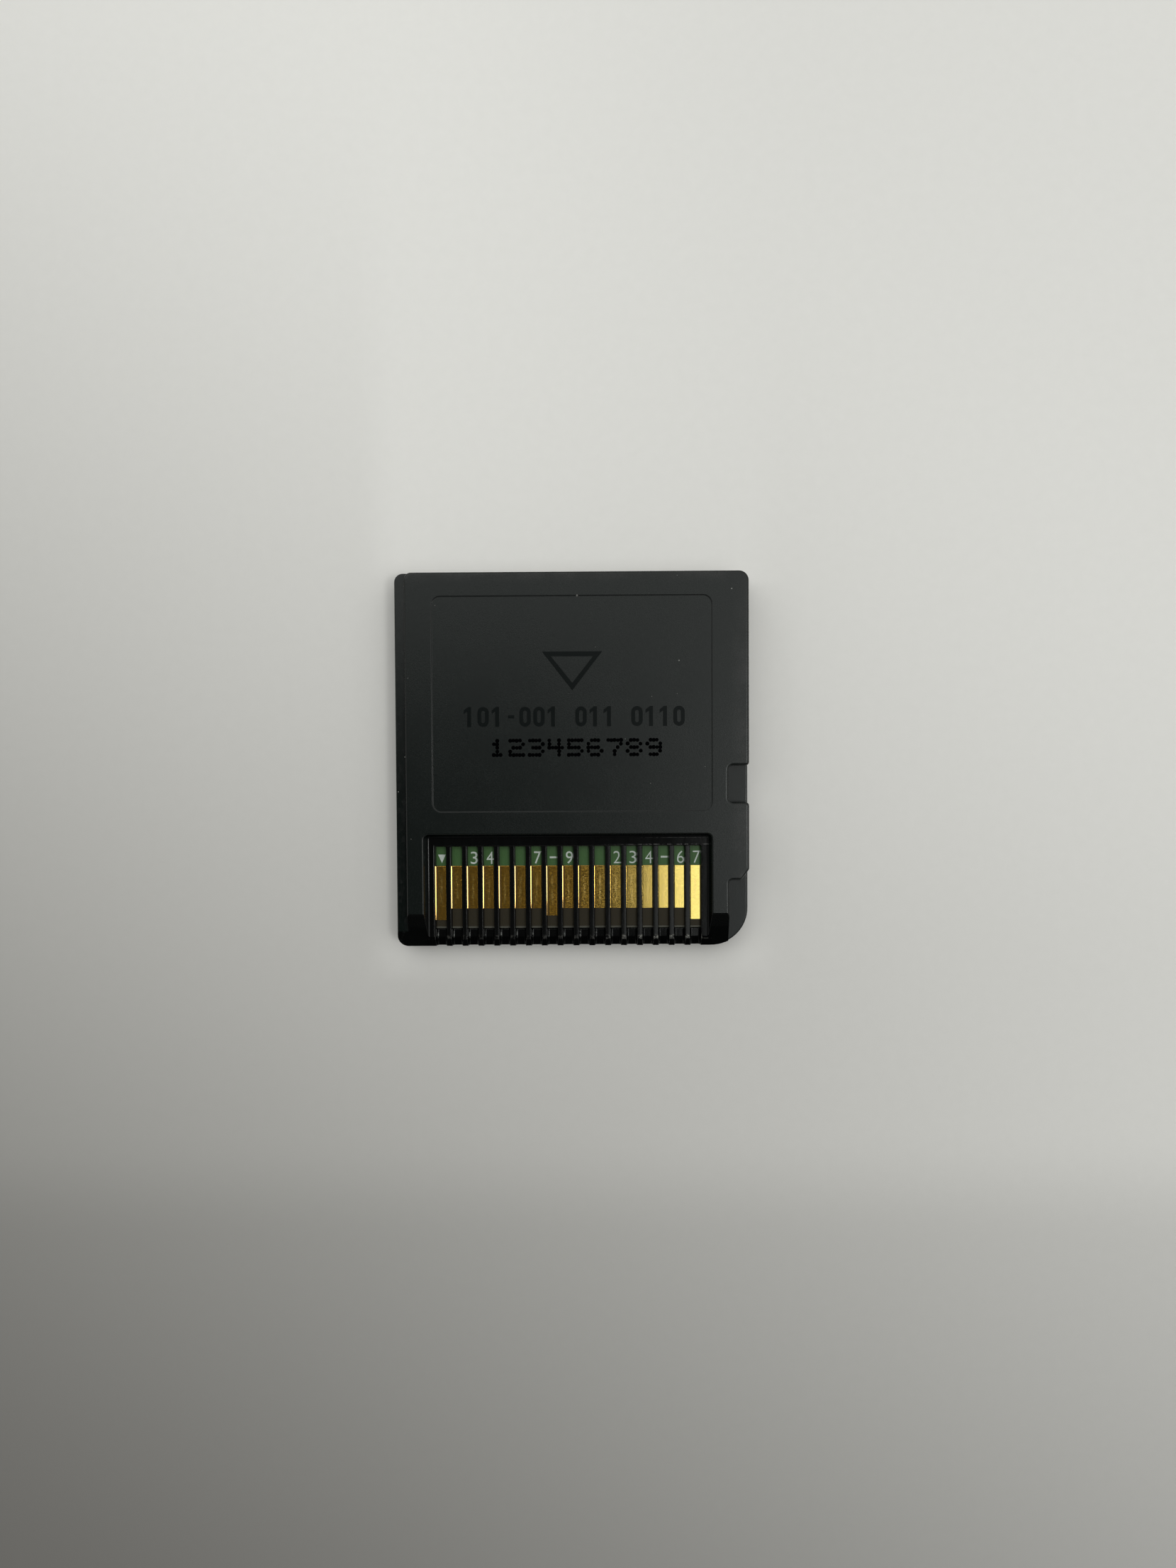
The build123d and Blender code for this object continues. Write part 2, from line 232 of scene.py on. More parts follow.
def pale_dust(spot):
    """How much pale dust lies on the card: six larger specks, and finer dust here and there."""
    specks = (
        spot_mark(spot, (0.59, 15.27, 3.75), 0.11)
        + spot_mark(spot, (-15.55, 16.32, 3.1), 0.10)
        + spot_mark(spot, (-15.64, 0.39, 3.05), 0.06)
        + spot_mark(spot, (-16.28, -2.87, 3.05), 0.06)
        + spot_mark(spot, (14.90, 15.80, 3.80), 0.07)
        + spot_mark(spot, (10.02, 9.21, 3.72), 0.07)
    )
    cells = spot.node(
        "ShaderNodeTexVoronoi", {"voronoi_dimensions": "2D"}, {"Vector": spot, "Scale": 0.4}
    )
    chance = spot.node("ShaderNodeSeparateColor", sockets={0: cells.other("Color")})
    dust = ease(cells, 0.020, 0.010) * ease(chance, 0.90, 0.92)
    return specks.maths("MINIMUM", specks + dust * 0.4, 0.8)


def grained_plastic(tone, spot, facing, rounded, edge):
    """The outside of the shell: fine grain, a painted highlight on the far and right rims, painted shade
    on the near ramps, painted light on steep walls, a scuffed rail and pale edges that are partly wear and
    partly painted highlight.
    """
    x, y, z = axes(spot)
    grain = noise(spot, 8.0, 4.0, 0.65)
    cloud = noise(spot, 0.22, 4.0, 0.5)
    flow = noise(stretch(spot, 0.9, 0.12, 0.9), 0.6, 3.0, 0.5)
    tooth = ease(noise(spot, 5.5, 3.0, 0.6), 0.36, 0.64)
    smudge = ease(noise(spot, 0.45, 5.0, 0.62), 0.42, 0.66)
    scratches = ease(noise(spot, 2.2, 4.0, 0.6), 0.48, 0.66)
    low_level = ease(z, RAIL_LEVEL + 0.15, RAIL_LEVEL)
    # Painted light: the steep walls of the panel recess and the rim fillets get the scuff grey, so their
    # shade reads fainter
    steep = ease(abs(facing), 0.96, 0.75) * ease(z, PANEL_FLOOR - 0.02, PANEL_FLOOR + 0.01)
    # Painted highlight: the far and right rims are lightened, as if lit from those sides
    right_rim = ease(x, CARD_RIGHT - 2.1, CARD_RIGHT - 0.1)
    far_rim = ease(y, CARD_FAR - 1.2, CARD_FAR - 0.1)
    lit_rims = right_rim.maths("MAXIMUM", right_rim, far_rim) * (1 - low_level)
    # Painted shade: the near ramps, which face away from the light, get a darker base without the green
    # tint
    ramps = ease(y, RAMP_TOP, RAMP_TOP - 0.3) * ease(abs(facing), 0.975, 0.94)
    rail_scuffs = low_level * ease(x, RAIL_EDGE, RAIL_EDGE - 0.4) * scratches
    plain = blend_colour(cloud, (0.0001, 0.0016, 0.0012), (0.0004, 0.0023, 0.0018))
    flowed = blend_colour(flow * 0.20, plain, (0.0014, 0.0040, 0.0030))
    toothed = blend_colour(tooth * 0.50 + smudge * 0.12, flowed, (0.0040, 0.0062, 0.0052))
    rim_highlighted = blend_colour(lit_rims * (0.15 + smudge * 0.45), toothed, (0.022, 0.022, 0.021))
    ramp_shaded = blend_colour(ramps, rim_highlighted, (0.0006, 0.0009, 0.0008))
    scuffed = blend_colour(rail_scuffs * 0.45, ramp_shaded, SCUFF_GREY_AND_WALL_LIGHT)
    wall_lit = blend_colour(steep * 0.7, scuffed, SCUFF_GREY_AND_WALL_LIGHT)
    # Paler edges: partly wear, partly a painted highlight along the rounded edges
    edge_wear_and_highlight = blend_colour(edge * (0.30 + cloud * 0.4), wall_lit, (0.020, 0.021, 0.0205))
    dusty = blend_colour(pale_dust(spot), edge_wear_and_highlight, (0.26, 0.26, 0.24))
    rough = 0.20 + grain * 0.08 + cloud * 0.05 - low_level * 0.06
    return surface_of(tone, {
        "Base Color": dusty, "Roughness": rough, "Specular IOR Level": 0.30, "Specular Tint": SHEEN,
        "Normal": rough_surface(grain, 0.005, rounded),
    })


def polished_plastic(tone, spot, facing, rounded, edge):
    """The contact window: polished, with pale marks painted on its edges, on the rib tips and at the slot
    feet, as highlights that stand in for glints of the lamp.
    """
    x, y, z = axes(spot)
    smear = noise(stretch(spot, 2.5, 0.8, 1.0), 1.2, 3.0, 0.5)
    patchy = ease(noise(spot, 4.0, 3.0, 0.6), 0.40, 0.62)
    # Painted highlights grow stronger towards the right, where the light falls
    lit_side = 0.15 + ease(x, 0.0, 8.0) * 0.85
    ledge = ease(z, RIB_TOP + 0.02, RIB_TOP + 0.06)
    ribs = band(z, RIB_TOP - 0.04, RIB_TOP + 0.015, 0.008)
    sill = ease(z, BOARD_TOP - 0.1, BOARD_TOP - 0.2)
    slot_walls = ease(abs(facing), 0.60, 0.40)
    rib_step = (x - FIRST_CONTACT) / CONTACT_PITCH
    rib_side = (rib_step.maths("FRACT", rib_step) - 0.5) * 2.0
    crowned = lean(rounded, ribs * rib_side, RIB_CROWN)
    sunk = lean(crowned, ledge + sill * 0.6 - ribs * 0.4, LEDGE_LEAN)
    # Painted highlights: pale patches on the rib tips, at the slot feet on the left, and along edges and
    # the ledge's foot and lip stand in for glints of the lamp, drawn as rub marks
    rib_tip_glints = ribs * patchy * lit_side * band(y, RIB_TIP, RIB_TIP + 0.34, 0.10)
    slot_feet = sill * band(rib_side, 0.46, 0.54, 0.06) * band(y, SLOT_FOOT_NEAR, SLOT_FOOT_FAR, 0.20)
    foot_glints = slot_feet * patchy * ease(x, 5.0, 1.0)
    foot_line = band(y, LEDGE_FOOT - 0.02, LEDGE_FOOT + 0.02, 0.03) * ease(x, 5.0, 10.0) * 0.7
    lip_line = band(y, LEDGE_LIP - 0.04, LEDGE_LIP + 0.04, 0.03) * ease(x, 1.0, 9.0)
    glint_lines = (edge * 0.8 + foot_line + lip_line) * patchy * lit_side
    shine = blend_colour(smear, (0.0008, 0.0009, 0.0009), (0.0018, 0.0020, 0.0020))
    painted_highlights = blend_colour(glint_lines.maths("MINIMUM", glint_lines, 1.0), shine, (0.080, 0.082, 0.078))
    tipped = blend_colour(rib_tip_glints, painted_highlights, (0.16, 0.16, 0.14))
    footed = blend_colour(foot_glints * 0.9, tipped, (0.26, 0.27, 0.25))
    rough = (0.09 + smear * 0.08) * (1 - slot_walls * 0.6) + rib_tip_glints * 0.25 + foot_glints * 0.3
    return surface_of(tone, {
        "Base Color": footed, "Roughness": rough, "Specular IOR Level": 0.28, "Specular Tint": SHEEN,
        "Normal": rough_surface(smear * (1 - slot_walls), 0.002, sunk),
    })


def shell_plastic():
    """Black moulded plastic: fine grain outside, polished in the contact window."""
    material, tone = start_finish("moulded_shell_plastic")
    spot = card_place(tone)
    x, y, z = axes(spot)
    in_window = (
        ease(y, WINDOW_FAR + 0.05, WINDOW_FAR - 0.05)
        * band(x, WINDOW_LEFT, WINDOW_RIGHT, 0.06)
        * ease(z, WINDOW_LEVEL + 0.08, WINDOW_LEVEL)
    )
    facing = axes(tone.node("ShaderNodeNewGeometry", output="Normal"))[2]
    rounded, edge = soft_edges(tone, 0.06)
    grained = grained_plastic(tone, spot, facing, rounded, edge)
    polished = polished_plastic(tone, spot, facing, rounded, edge)
    close_finish(tone.node("ShaderNodeMixShader", sockets={0: in_window, 1: grained, 2: polished}))
    return material


def moulded_mark_plastic():
    """The smoother, darker plastic of the moulded marks."""
    material, tone = start_finish("moulded_mark_plastic")
    spot = card_place(tone)
    grain = noise(spot, 9.0, 3.0, 0.6)
    cloud = noise(spot, 0.8, 3.0, 0.5)
    colour = blend_colour(grain * 0.5 + cloud * 0.5, (0.0003, 0.0019, 0.0015), (0.0012, 0.0032, 0.0027))
    rounded, edge = soft_edges(tone, 0.03)
    # Paler mark edges: partly wear, partly a painted edge highlight
    edge_wear_and_highlight = blend_colour(edge * 0.4, colour, (0.010, 0.011, 0.0105))
    relief = rough_surface(grain, 0.003, rounded)
    close_finish(surface_of(tone, {
        "Base Color": edge_wear_and_highlight, "Roughness": 0.26 + cloud * 0.08, "Specular IOR Level": 0.10, "Normal": relief,
    }))
    return material


def stamp_ink():
    """Flat black stamping ink, thinner here and there."""
    material, tone = start_finish("black_stamp_ink")
    spot = card_place(tone)
    thin = noise(spot, 3.5, 4.0, 0.6)
    colour = blend_colour(ease(thin, 0.62, 0.80), (0.0009, 0.0010, 0.0011), (0.0036, 0.0040, 0.0042))
    relief = rough_surface(noise(spot, 14.0), 0.003)
    close_finish(surface_of(tone, {
        "Base Color": colour, "Roughness": 0.60 + thin * 0.15, "Specular IOR Level": 0.0, "Normal": relief,
    }))
    return material


def board_laminate():
    """Green solder mask over a woven laminate, bare from the contacts to the edge."""
    material, tone = start_finish("board_laminate")
    spot = card_place(tone)
    x, y = axes(spot)[:2]
    facing = axes(tone.node("ShaderNodeNewGeometry", output="Normal"))[2]
    bare = ease(y, CONTACT_FAR + 0.06, CONTACT_FAR + 0.02)
    cut_face = ease(abs(facing), 0.90, 0.76)
    weft = noise(stretch(spot, 1.2, 9.0, 1.0), 1.0, 3.0, 0.6)
    warp = noise(stretch(spot, 9.0, 1.2, 1.0), 1.0, 3.0, 0.6)
    weave = (weft + warp) * 0.5
    step = (x - FIRST_CONTACT) / CONTACT_PITCH + 0.5
    across = abs(step.maths("FRACT", step) - 0.5) * CONTACT_PITCH
    trace = ease(across, 0.30, 0.24)
    mask = blend_colour(weave, (0.024, 0.068, 0.015), (0.041, 0.109, 0.027))
    over_trace = blend_colour(trace * 0.12, mask, (0.054, 0.126, 0.036))
    resin = blend_colour(weave, (0.009, 0.0064, 0.0006), (0.021, 0.0155, 0.0028))
    top = blend_colour(bare, over_trace, resin)
    layers = noise(stretch(spot, 3.0, 3.0, 26.0), 1.0, 3.0, 0.6)
    fibre = blend_colour(layers, (0.085, 0.087, 0.070), (0.19, 0.19, 0.155))
    colour = blend_colour(cut_face, top, fibre)
    rough = 0.34 + weave * 0.14 + bare * 0.16 + cut_face * 0.2
    relief = rough_surface(weave + trace * 0.3 * (1 - bare), 0.008)
    close_finish(surface_of(tone, {
        "Base Color": colour, "Roughness": rough, "Specular IOR Level": 0.25, "Normal": relief,
    }))
    return material


def contact_gold():
    """Gold plating, with the cross grain of the board under it and the wipe of the socket's springs, and
    painted highlight that makes it paler towards the right and along the unworn left edges.
    """
    material, tone = start_finish("contact_gold")
    spot = card_place(tone)
    x, y = axes(spot)[:2]
    weft = noise(stretch(spot, 4.0, 16.0, 1.0), 1.0, 3.0, 0.65)
    warp = noise(stretch(spot, 16.0, 4.5, 1.0), 1.0, 3.0, 0.65)
    weft_flecks = ease(weft, 0.42, 0.70)
    cross = weft_flecks.maths("MAXIMUM", weft_flecks, ease(warp, 0.46, 0.74) * 0.8)
    mottle = noise(spot, 7.0, 4.0, 0.6)
    step = (x - FIRST_CONTACT) / CONTACT_PITCH + 0.5
    across = (step.maths("FRACT", step) - 0.5) * CONTACT_PITCH
    # The unworn left edge of the left contacts is smoother, and its paler gold is also a painted highlight
    # for the lamp's bright strip there
    unworn_and_highlit = ease(across, -0.27, -0.36) * ease(x, 3.0, -1.0)
    flecks = cross * (1 - unworn_and_highlit)
    wander = (noise(stretch(spot, 1.0, 0.25, 1.0), 1.3) - 0.5) * 0.25
    wiped = ease(abs(across + wander), 0.17, 0.03) * band(y, CONTACT_NEAR + 0.5, CONTACT_FAR - 0.9, 0.45)
    wiped = wiped * ease(noise(stretch(spot, 12.0, 1.6, 1.0), 1.0, 2.0), 0.36, 0.56)
    # Painted highlight: the gold grows paler from left to right, standing in for the brighter reflection
    # on the right contacts
    rich = blend_colour(mottle, (0.72, 0.38, 0.050), (0.92, 0.55, 0.10))
    pale = blend_colour(mottle, (0.86, 0.68, 0.17), (0.97, 0.83, 0.27))
    painted_highlights = blend_colour(ease(x, -4.0, 15.0), rich, pale)
    plate = blend_colour(unworn_and_highlit, painted_highlights, (0.94, 0.58, 0.18))
    colour = blend_colour(wiped * 0.5, plate, (0.97, 0.72, 0.25))
    fleck_rough = 0.155 - ease(x, -1.0, 6.0) * 0.065
    rough = 0.070 + flecks * fleck_rough + wiped * 0.05 - unworn_and_highlit * 0.03
    rounded = soft_edges(tone, 0.035)[0]
    relief = rough_surface((cross * 0.5 + mottle * 0.3 + wiped * 0.2) * (1 - unworn_and_highlit), 0.0010, rounded)
    close_finish(surface_of(tone, {
        "Base Color": colour, "Metallic": 1.0, "Roughness": rough, "Normal": relief,
    }))
    return material


def legend_ink():
    """Pale legend ink on the board, thinner here and there."""
    material, tone = start_finish("board_legend_ink")
    spot = card_place(tone)
    thin = noise(spot, 9.0, 4.0, 0.6)
    colour = blend_colour(ease(thin, 0.45, 0.75), (0.46, 0.51, 0.46), (0.30, 0.37, 0.30))
    relief = rough_surface(thin, 0.006)
    rough = 0.5 + thin * 0.15
    close_finish(surface_of(tone, {"Base Color": colour, "Roughness": rough, "Normal": relief}))
    return material


def chip_resin():
    """Charcoal moulding resin of the chips."""
    material, tone = start_finish("chip_resin")
    spot = card_place(tone)
    fine = noise(spot, 11.0, 4.0, 0.65)
    cloud = noise(spot, 0.5)
    colour = blend_colour(fine * 0.6 + cloud * 0.4, (0.010, 0.010, 0.011), (0.026, 0.026, 0.027))
    relief = rough_surface(fine, 0.010)
    rough = 0.55 + cloud * 0.15
    close_finish(surface_of(tone, {"Base Color": colour, "Roughness": rough, "Normal": relief}))
    return material


def lead_tin():
    """Dull tinned legs."""
    material, tone = start_finish("lead_tin")
    spot = card_place(tone)
    frost = noise(spot, 6.0, 4.0, 0.6)
    colour = blend_colour(frost, (0.46, 0.46, 0.45), (0.70, 0.70, 0.68))
    relief = rough_surface(frost, 0.004)
    close_finish(surface_of(tone, {
        "Base Color": colour, "Metallic": 1.0, "Roughness": 0.30 + frost * 0.2, "Normal": relief,
    }))
    return material


def fired_body(name, dark, pale, ends):
    """A small fired component, with tinned ends."""
    material, tone = start_finish(name)
    spot = card_place(tone)
    place = tone.node("ShaderNodeTexCoord", output="Generated")
    along = axes(place)[0]
    tinned = ease(abs(along - 0.5), 0.5 - ends, 0.5 - ends + 0.02)
    fine = noise(spot, 8.0, 4.0, 0.6)
    body = blend_colour(fine, dark, pale)
    colour = blend_colour(tinned, body, (0.62, 0.62, 0.60))
    relief = rough_surface(fine, 0.006)
    rough = 0.45 - tinned * 0.12 + fine * 0.1
    close_finish(surface_of(tone, {
        "Base Color": colour, "Metallic": tinned, "Roughness": rough, "Normal": relief,
    }))
    return material


def table_board():
    """The pale table, with painted shade that darkens it towards the near left, beyond a soft line and at
    the right, and painted light that makes it paler in front of the card.
    """
    material, tone = start_finish("pale_table")
    spot = card_place(tone)
    x, y = axes(spot)[:2]
    fibre = noise(spot, 0.9, 5.0, 0.6)
    board = blend_colour(fibre, (0.83, 0.83, 0.785), (0.87, 0.87, 0.825))
    # Painted shade towards the near left, beyond a soft line and at the right; painted light in a strip in
    # front of the card
    painted_shade_near_left = ease(y + x * 0.69, 66.0, -145.0)
    painted_shadow_band = ease(y, -36.0, -47.0)
    painted_shade_right = ease(x, -25.0, 25.0) * ease(y, -45.0, -15.0)
    near_strip = ease(y, -22.0, -18.2) * ease(abs(x), 21.0, 16.0)
    far_to_near = blend_colour(painted_shade_near_left, board, (0.18, 0.175, 0.16))
    painted_light_in_front = blend_colour(near_strip * 0.45, far_to_near, board)
    colour = blend_colour(painted_shadow_band * 0.14 + painted_shade_right * 0.08, painted_light_in_front, (0.0, 0.0, 0.0))
    close_finish(surface_of(tone, {"Base Color": colour, "Roughness": 0.75, "Specular IOR Level": 0.2}))
    return material


# Each solid gets its finish
plastic = shell_plastic()
mark_plastic = moulded_mark_plastic()
ink = stamp_ink()
legend = legend_ink()
finishes = {
    "back_shell": plastic,
    "front_shell": plastic,
    "circuit_board": board_laminate(),
    "contact": contact_gold(),
    "rom_chip": chip_resin(),
    "leads": lead_tin(),
    "capacitor": fired_body("capacitor_body", (0.20, 0.12, 0.06), (0.30, 0.19, 0.10), ends=0.22),
    "resistor": fired_body("resistor_body", (0.008, 0.008, 0.009), (0.020, 0.020, 0.022), ends=0.18),
}
finishes["save_chip"] = finishes["rom_chip"]


def finish_for(name):
    """The finish of a solid, from its name."""
    if name.endswith("_leads"):
        return finishes["leads"]
    return finishes.get(name) or finishes[name.split("_")[0]]


for name, solid in nodes.items():
    for place in solid.material_slots:
        place.material = finish_for(name)


# Print and moulded marks, as thin pieces on the card

def add_piece(name, mesh, material):
    """A piece that goes with the card."""
    mesh.materials.clear()
    mesh.materials.append(material)
    piece = bpy.data.objects.new(name, mesh)
    scene.collection.objects.link(piece)
    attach(piece, "root")
    return piece


STAMP_DOTS = {
    "1": "..#.. .##.. ..#.. ..#.. .###.",
    "2": "####. ....# .###. #.... #####",
    "3": "####. ....# .###. ....# ####.",
    "4": "#..#. #..#. ##### ...#. ...#.",
    "5": "##### #.... ####. ....# ####.",
    "6": ".###. #.... ####. #...# .###.",
    "7": "##### ....# ...#. ..#.. ..#..",
    "8": ".###. #...# .###. #...# .###.",
    "9": ".###. #...# .#### ....# .###.",
}


def stamp_dots(text):
    """The place of each ink dot: which letter, and the row and column in it."""
    for letter, figure in enumerate(text):
        for row, line in enumerate(STAMP_DOTS[figure].split()):
            for column, dot in enumerate(line):
                if dot == "#":
                    yield letter, row, column


def stamped_number(text, centre, letter_pitch, dot_across, dot_down, dot_size):
    """A row of stamped figures made of flat ink dots, each a little off its size and place."""
    uneven, wander, thickness = 0.07, 0.012, 0.016
    mesh = bmesh.new()
    left = centre[0] - letter_pitch * (len(text) - 1) / 2
    for count, (letter, row, column) in enumerate(stamp_dots(text), start=1):
        radius = dot_size / 2 * (1 + uneven * math.sin(count * 2.4))
        across = left + letter * letter_pitch + (column - 2) * dot_across + wander * math.sin(count * 1.7)
        down = centre[1] - (row - 2) * dot_down + wander * math.cos(count * 3.1)
        middle = Matrix.Translation(Vector((across, down, PANEL_FLOOR + 0.002)) * MM)
        bmesh.ops.create_cone(
            mesh, cap_ends=True, segments=18, radius1=radius * MM, radius2=radius * 0.86 * MM,
            depth=thickness * MM, matrix=middle,
        )
    made = bpy.data.meshes.new("stamped_number")
    mesh.to_mesh(made)
    mesh.free()
    return made


def mesh_of(curve):
    """The filled curve as a mesh."""
    drawn = bpy.data.objects.new(curve.name + "_line", curve)
    scene.collection.objects.link(drawn)
    bpy.context.view_layer.update()
    shaped = drawn.evaluated_get(bpy.context.evaluated_depsgraph_get())
    mesh = bpy.data.meshes.new_from_object(shaped)
    bpy.data.objects.remove(drawn)
    bpy.data.curves.remove(curve)
    return mesh


def figures_mesh(name, text, thickness, weight):
    """Plain figures as a thin solid of unit size, lying flat."""
    curve = bpy.data.curves.new(name, "FONT")
    curve.body = text
    curve.extrude = thickness / 2
    curve.offset = weight
    curve.align_x = "CENTER"
    return mesh_of(curve)


def outline_mesh(name, outlines, low, high):
    """Flat outlines, inner ones as holes, as a thin solid between two heights, in mm."""
    curve = bpy.data.curves.new(name, "CURVE")
    curve.dimensions = "2D"
    curve.fill_mode = "BOTH"
    curve.extrude = (high - low) / 2
    for outline in outlines:
        spline = curve.splines.new("POLY")
        spline.points.add(len(outline) - 1)
        for point, (x, y) in zip(spline.points, outline):
            point.co = (x, y, 0.0, 1.0)
        spline.use_cyclic_u = True
    mesh = mesh_of(curve)
    mesh.transform(Matrix.Scale(MM, 4) @ Matrix.Translation((0.0, 0.0, (low + high) / 2)))
    return mesh


def bar_outline(x, y, width, height):
    """A rectangle around a point."""
    return [
        (x - width / 2, y - height / 2), (x + width / 2, y - height / 2),
        (x + width / 2, y + height / 2), (x - width / 2, y + height / 2),
    ]


def oval_outline(x, y, width, height, steps=12):
    """A long round outline around a point: two half circles with straight sides."""
    radius = width / 2
    reach = (height - width) / 2
    points = []
    for side in (1, -1):
        for step in range(steps + 1):
            turn = math.pi * step / steps
            across = side * radius * math.cos(turn)
            along = side * (reach + radius * math.sin(turn))
            points.append((x + across, y + along))
    return points


def arrow_outline(x, far, near, width):
    """A triangle that points to the contact edge."""
    return [(x - width / 2, far), (x, near), (x + width / 2, far)]


def plain_figures(text, left, middle, pitch, width, height, stroke):
    """Bold plain figures 0 and 1, with dashes and gaps, as outlines in a row."""
    outlines = []
    for place, letter in enumerate(text):
        x = left + place * pitch
        if letter == "0":
            outlines.append(oval_outline(x, middle, width, height))
            outlines.append(oval_outline(x, middle, width - 2 * stroke, height - 2 * stroke))
        elif letter == "1":
            foot, head, hook = middle - height / 2, middle + height / 2, stroke * 0.9
            outlines.append([
                (x - stroke / 2, foot), (x + stroke / 2, foot),
                (x + stroke / 2, head), (x - stroke / 4, head),
                (x - stroke / 2 - hook, head - hook), (x - stroke / 2 - hook, head - 2 * hook),
                (x - stroke / 2, head - 1.3 * hook),
            ])
        elif letter == "-":
            outlines.append(bar_outline(x, middle, width * 0.55, stroke * 0.8))
    return outlines


def fit_mesh(mesh, low, high):
    """Scales and moves a mesh so that it fills the box between two corners, in mm."""
    points = [vertex.co for vertex in mesh.vertices]
    least = Vector([min(point[axis] for point in points) for axis in range(3)])
    most = Vector([max(point[axis] for point in points) for axis in range(3)])
    for point in points:
        for axis in range(3):
            share = (point[axis] - least[axis]) / (most[axis] - least[axis])
            point[axis] = (low[axis] + share * (high[axis] - low[axis])) * MM
    mesh.update()


stamp = stamped_number(
    "123456789", centre=(0.36, 1.19), letter_pitch=1.82, dot_across=0.30, dot_down=0.335, dot_size=0.385,
)
add_piece("stamped_number", stamp, ink)

MARK_LOW, MARK_HIGH = PANEL_FLOOR - 0.01, PANEL_FLOOR + 0.03
figures = plain_figures(
    "101-001 011 0110", left=-9.5, middle=4.08, pitch=1.3, width=1.06, height=1.86, stroke=0.36,
)
moulded = outline_mesh("moulded_figures", figures, MARK_LOW, MARK_HIGH)
add_piece("moulded_figures", moulded, mark_plastic)

arrow_rim = arrow_outline(0.1, far=10.1, near=6.5, width=5.6)
arrow_hole = arrow_outline(0.1, far=9.65, near=7.2, width=3.9)
arrow = outline_mesh("insertion_arrow", [arrow_rim, arrow_hole], MARK_LOW, MARK_HIGH)
add_piece("insertion_arrow", arrow, mark_plastic)

LEGEND_LOW, LEGEND_HIGH = BOARD_TOP - 0.005, BOARD_TOP + 0.015
pin_arrow = arrow_outline(-12.36, far=-8.86, near=-9.66, width=0.72)
first_pin = outline_mesh("first_pin_mark", [pin_arrow], LEGEND_LOW, LEGEND_HIGH)
add_piece("first_pin_mark", first_pin, legend)

# The last figure of some contacts' numbers, with a dash at two of them; those on the left are bolder
PIN_MARKS = {
    3: "3", 4: "4", 7: "7", 8: "-", 9: "9", 12: "2", 13: "3", 14: "4", 15: "-", 16: "6", 17: "7",
}
BOLD, FINE = 0.0, -0.008
FIRST_FINE_MARK = 10
MARK_SHIFT = 0.12
FIGURE_HALF_WIDTH = 0.33
FIGURE_NEAR, FIGURE_FAR = -9.76, -8.60
DASH_LEFT, DASH_RIGHT = -0.36, 0.30
DASH_NEAR, DASH_FAR = -9.25, -9.08
for contact, figure in PIN_MARKS.items():
    middle = FIRST_CONTACT + (contact - 1) * CONTACT_PITCH + MARK_SHIFT
    weight = BOLD if contact < FIRST_FINE_MARK else FINE
    mark = figures_mesh(f"pin_mark_{contact:02d}", figure, thickness=0.1, weight=weight)
    if figure == "-":
        low = (middle + DASH_LEFT, DASH_NEAR, LEGEND_LOW)
        high = (middle + DASH_RIGHT, DASH_FAR, LEGEND_HIGH)
    else:
        low = (middle - FIGURE_HALF_WIDTH, FIGURE_NEAR, LEGEND_LOW)
        high = (middle + FIGURE_HALF_WIDTH, FIGURE_FAR, LEGEND_HIGH)
    fit_mesh(mark, low, high)
    add_piece(f"pin_mark_{contact:02d}", mark, legend)


# Table, light and camera
floor = bmesh.new()
bmesh.ops.create_grid(floor, x_segments=8, y_segments=8, size=2.0)
table_mesh = bpy.data.meshes.new("table_top")
floor.to_mesh(table_mesh)
floor.free()
table = bpy.data.objects.new("table_top", table_mesh)
table.location = (0.0, 0.0, -TABLE_GAP * MM)
table_mesh.materials.append(table_board())
scene.collection.objects.link(table)


def softbox(name, place, aim, width, height, brightness):
    """A large soft lamp of an even brightness, aimed at a point, all in metres."""
    lamp = bpy.data.lights.new(name, "AREA")
    lamp.shape = "RECTANGLE"
    lamp.size = width
    lamp.size_y = height
    lamp.energy = brightness * width * height * math.pi
    stand = bpy.data.objects.new(name, lamp)
    stand.location = place
    stand.rotation_euler = (Vector(aim) - Vector(place)).to_track_quat("-Z", "Y").to_euler()
    stand.visible_camera = False
    scene.collection.objects.link(stand)
    return stand


CEILING = 0.60


def ceiling_panel(name, left, near, right, far, brightness):
    """A lit part of the ceiling, from its near left corner to its far right one, facing down."""
    middle = Vector(((left + right) / 2, (near + far) / 2, CEILING))
    softbox(name, middle, middle - Vector((0.0, 0.0, CEILING)), right - left, far - near, brightness)


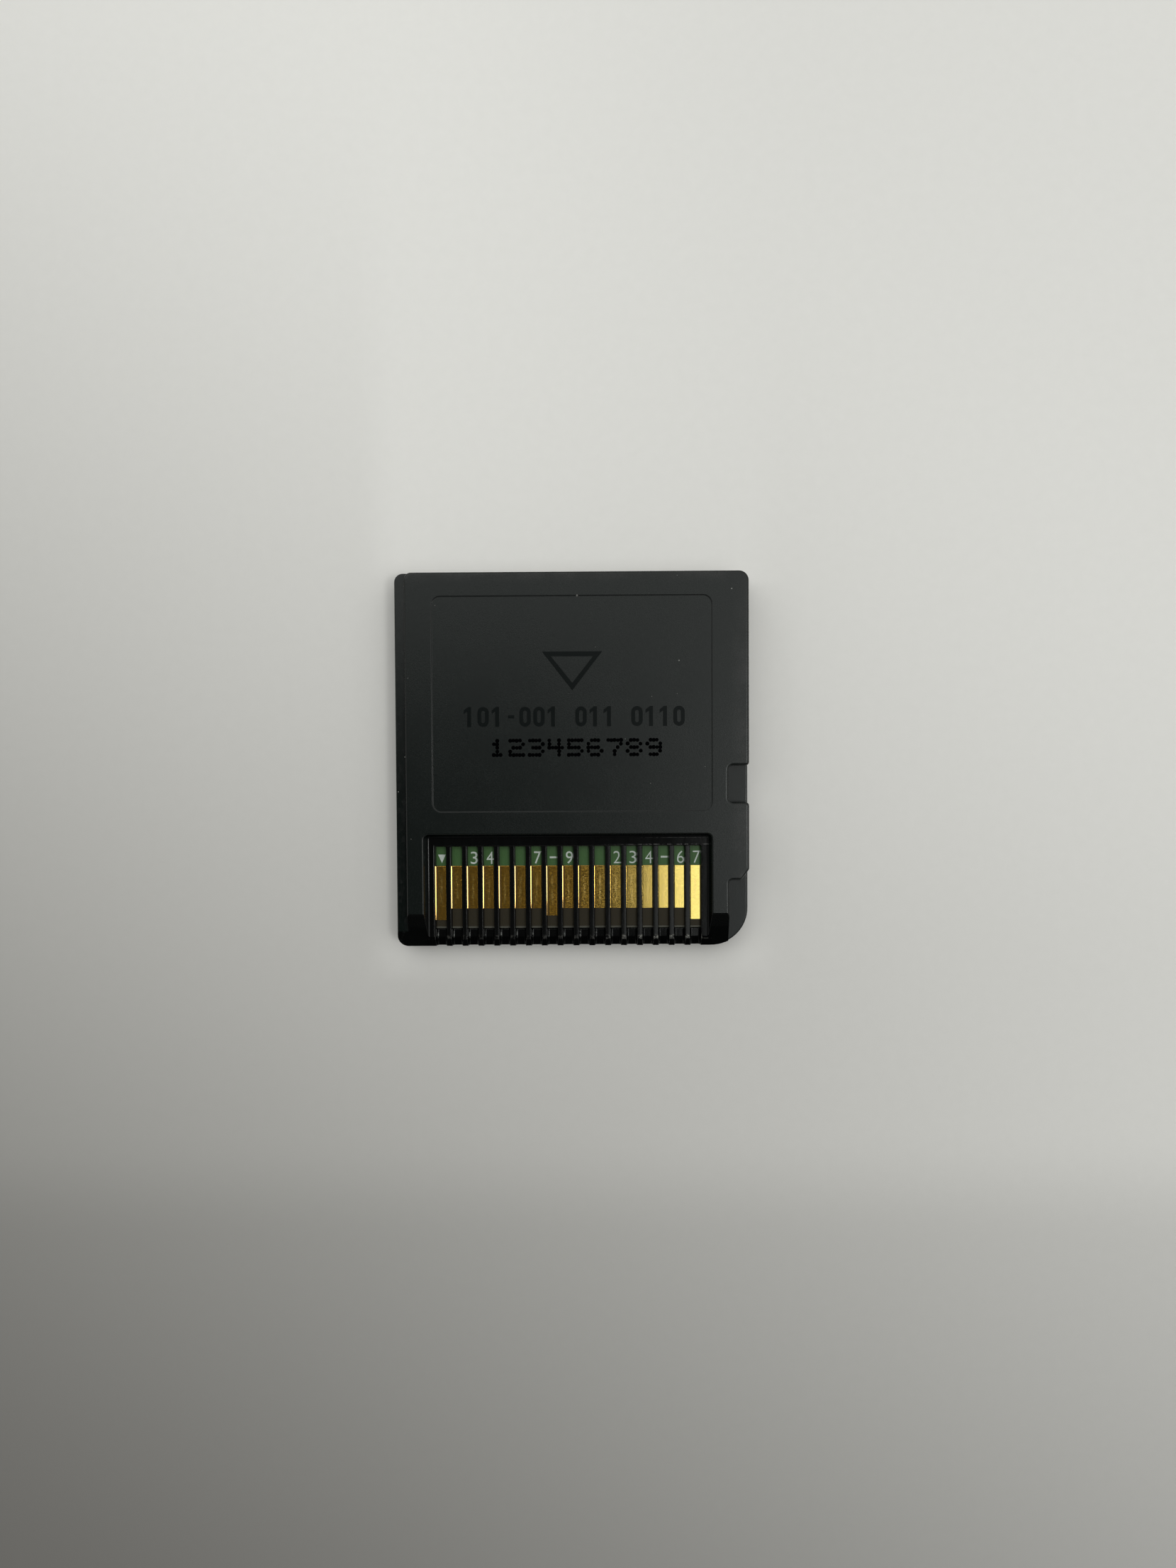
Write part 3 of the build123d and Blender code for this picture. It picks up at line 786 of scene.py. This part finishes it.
ceiling_panel("right_panel", left=0.036, near=-0.30, right=0.90, far=0.90, brightness=1.18)
ceiling_panel("far_panel", left=-0.90, near=0.06, right=0.036, far=0.90, brightness=1.45)
ceiling_panel("lamp_panel", left=0.050, near=-0.20, right=0.16, far=-0.01, brightness=1.00)
softbox(
    "key_softbox", place=(0.230, -0.045, 0.55), aim=(0.0, 0.0, 0.0),
    width=0.092, height=0.092, brightness=16.0,
)

room = bpy.data.worlds.new("studio_room")
scene.world = room
room.use_nodes = True
room.node_tree.nodes.clear()
sky = Tone(room.node_tree)
east, north, up = axes(sky.node("ShaderNodeTexCoord", output="Generated"))
walls = ease(up, 0.70, 0.35) * ease(north + abs(east) * 0.7, -0.35, 0.35)
near_side = ease(north, -0.25, -0.55)
overhead = blend_colour(near_side, (0.060, 0.060, 0.060), (0.012, 0.012, 0.012))
near_corners = ease(up, 0.85, 0.36) * ease(abs(east), 0.25, 0.50)
low_wall = near_side * near_corners.maths("MAXIMUM", near_corners, ease(up, 0.50, 0.34))
dim_room = blend_colour(low_wall, overhead, (0.24, 0.24, 0.24))
shade = blend_colour(walls, dim_room, (0.45, 0.45, 0.44))
backing = sky.node("ShaderNodeBackground", sockets={"Color": shade, "Strength": 1.0})
sky.node("ShaderNodeOutputWorld", sockets={"Surface": backing})

PHOTO_LONG_SIDE = 2212
FOCAL_PIXELS = 1662
PITCH, YAW, ROLL = 0.02815, -0.00904, 0.00566
CAMERA_PLACE = Vector((2.503, 0.873, 113.29)) * MM
lens = bpy.data.cameras.new("photo_camera")
lens.sensor_width = 36.0
lens.lens = lens.sensor_width * FOCAL_PIXELS / PHOTO_LONG_SIDE
lens.clip_start = 0.005
lens.clip_end = 20.0
camera = bpy.data.objects.new("photo_camera", lens)
turn = Matrix.Rotation(-YAW, 4, "Y") @ Matrix.Rotation(-PITCH, 4, "X") @ Matrix.Rotation(-ROLL, 4, "Z")
camera.matrix_world = Matrix.Translation(CAMERA_PLACE) @ turn
scene.collection.objects.link(camera)
scene.camera = camera
scene.view_settings.view_transform = "Standard"
